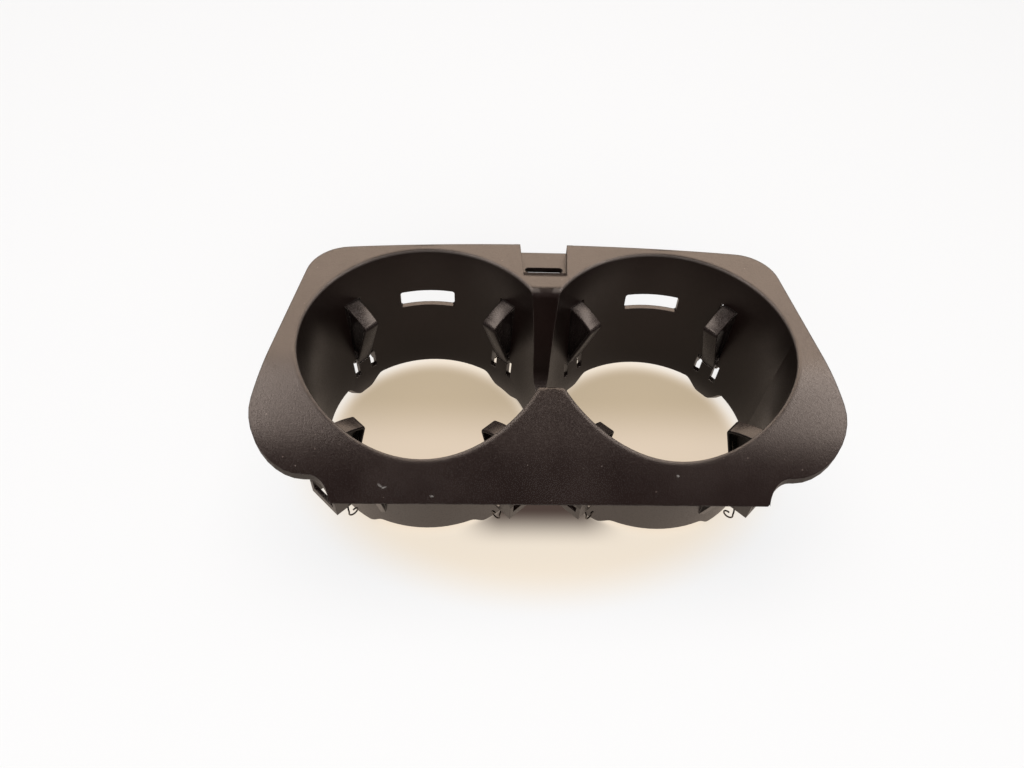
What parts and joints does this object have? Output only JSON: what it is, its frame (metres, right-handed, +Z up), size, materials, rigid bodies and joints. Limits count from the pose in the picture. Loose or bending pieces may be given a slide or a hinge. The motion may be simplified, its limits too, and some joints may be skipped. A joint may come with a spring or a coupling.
{
  "type": "cup holder insert",
  "caption": "Twin cup holder insert for a car console: plate with bent apron, two open tapered cups joined by a saddle, and sprung fingers on pins that grip the cups",
  "frame": {"origin": "on the table, at the middle of the outline's box, with the part standing on its feet", "axes": "+X runs to the right along the two cups, +Y runs away from the apron to the notched back edge, +Z is up"},
  "size_m": [0.1884, 0.0982, 0.061],
  "materials": {
    "moulding": "fine-grained matte black plastic, slightly brown in bright light",
    "finger": "satin black plastic, smoother than the moulding",
    "pin_steel": "plain steel",
    "spring_steel": "dark oiled spring wire"
  },
  "bodies": {
    "housing": {"housing": "moulding", "pin_left_back_outer": "pin_steel", "pin_left_back_inner": "pin_steel", "pin_left_front_outer": "pin_steel", "pin_left_front_inner": "pin_steel", "pin_right_back_outer": "pin_steel", "pin_right_back_inner": "pin_steel", "pin_right_front_outer": "pin_steel", "pin_right_front_inner": "pin_steel", "spring_left_back_outer": "spring_steel", "spring_left_back_inner": "spring_steel", "spring_left_front_outer": "spring_steel", "spring_left_front_inner": "spring_steel", "spring_right_back_outer": "spring_steel", "spring_right_back_inner": "spring_steel", "spring_right_front_outer": "spring_steel", "spring_right_front_inner": "spring_steel"},
    "finger_left_back_outer": {"finger_left_back_outer": "finger"},
    "finger_left_back_inner": {"finger_left_back_inner": "finger"},
    "finger_left_front_outer": {"finger_left_front_outer": "finger"},
    "finger_left_front_inner": {"finger_left_front_inner": "finger"},
    "finger_right_back_outer": {"finger_right_back_outer": "finger"},
    "finger_right_back_inner": {"finger_right_back_inner": "finger"},
    "finger_right_front_outer": {"finger_right_front_outer": "finger"},
    "finger_right_front_inner": {"finger_right_front_inner": "finger"}
  },
  "joints": [
    {"name": "finger_left_back_outer_swing", "type": "hinge", "parent": "housing", "child": "finger_left_back_outer", "pos_m": [-0.07175, 0.03379, 0.015], "axis": [-0.7071, -0.7071, 0], "range_deg": [0, 20], "stiffness_Nm_per_rad": 0.05, "springref_deg": -40.11, "deforming": ["spring_left_back_outer"]},
    {"name": "finger_left_back_inner_swing", "type": "hinge", "parent": "housing", "child": "finger_left_back_inner", "pos_m": [-0.01114, 0.03485, 0.015], "axis": [-0.7314, 0.682, 0], "range_deg": [0, 20], "stiffness_Nm_per_rad": 0.05, "springref_deg": -40.11, "deforming": ["spring_left_back_inner"]},
    {"name": "finger_left_front_outer_swing", "type": "hinge", "parent": "housing", "child": "finger_left_front_outer", "pos_m": [-0.07175, -0.02791, 0.015], "axis": [0.7071, -0.7071, 0], "range_deg": [0, 20], "stiffness_Nm_per_rad": 0.05, "springref_deg": -40.11, "deforming": ["spring_left_front_outer"]},
    {"name": "finger_left_front_inner_swing", "type": "hinge", "parent": "housing", "child": "finger_left_front_inner", "pos_m": [-0.01114, -0.02897, 0.015], "axis": [0.7314, 0.682, 0], "range_deg": [0, 20], "stiffness_Nm_per_rad": 0.05, "springref_deg": -40.11, "deforming": ["spring_left_front_inner"]},
    {"name": "finger_right_back_outer_swing", "type": "hinge", "parent": "housing", "child": "finger_right_back_outer", "pos_m": [0.07175, 0.03379, 0.015], "axis": [-0.7071, 0.7071, 0], "range_deg": [0, 20], "stiffness_Nm_per_rad": 0.05, "springref_deg": -40.11, "deforming": ["spring_right_back_outer"]},
    {"name": "finger_right_back_inner_swing", "type": "hinge", "parent": "housing", "child": "finger_right_back_inner", "pos_m": [0.01114, 0.03485, 0.015], "axis": [-0.7314, -0.682, 0], "range_deg": [0, 20], "stiffness_Nm_per_rad": 0.05, "springref_deg": -40.11, "deforming": ["spring_right_back_inner"]},
    {"name": "finger_right_front_outer_swing", "type": "hinge", "parent": "housing", "child": "finger_right_front_outer", "pos_m": [0.07175, -0.02791, 0.015], "axis": [0.7071, 0.7071, 0], "range_deg": [0, 20], "stiffness_Nm_per_rad": 0.05, "springref_deg": -40.11, "deforming": ["spring_right_front_outer"]},
    {"name": "finger_right_front_inner_swing", "type": "hinge", "parent": "housing", "child": "finger_right_front_inner", "pos_m": [0.01114, -0.02897, 0.015], "axis": [0.7314, -0.682, 0], "range_deg": [0, 20], "stiffness_Nm_per_rad": 0.05, "springref_deg": -40.11, "deforming": ["spring_right_front_inner"]}
  ]
}
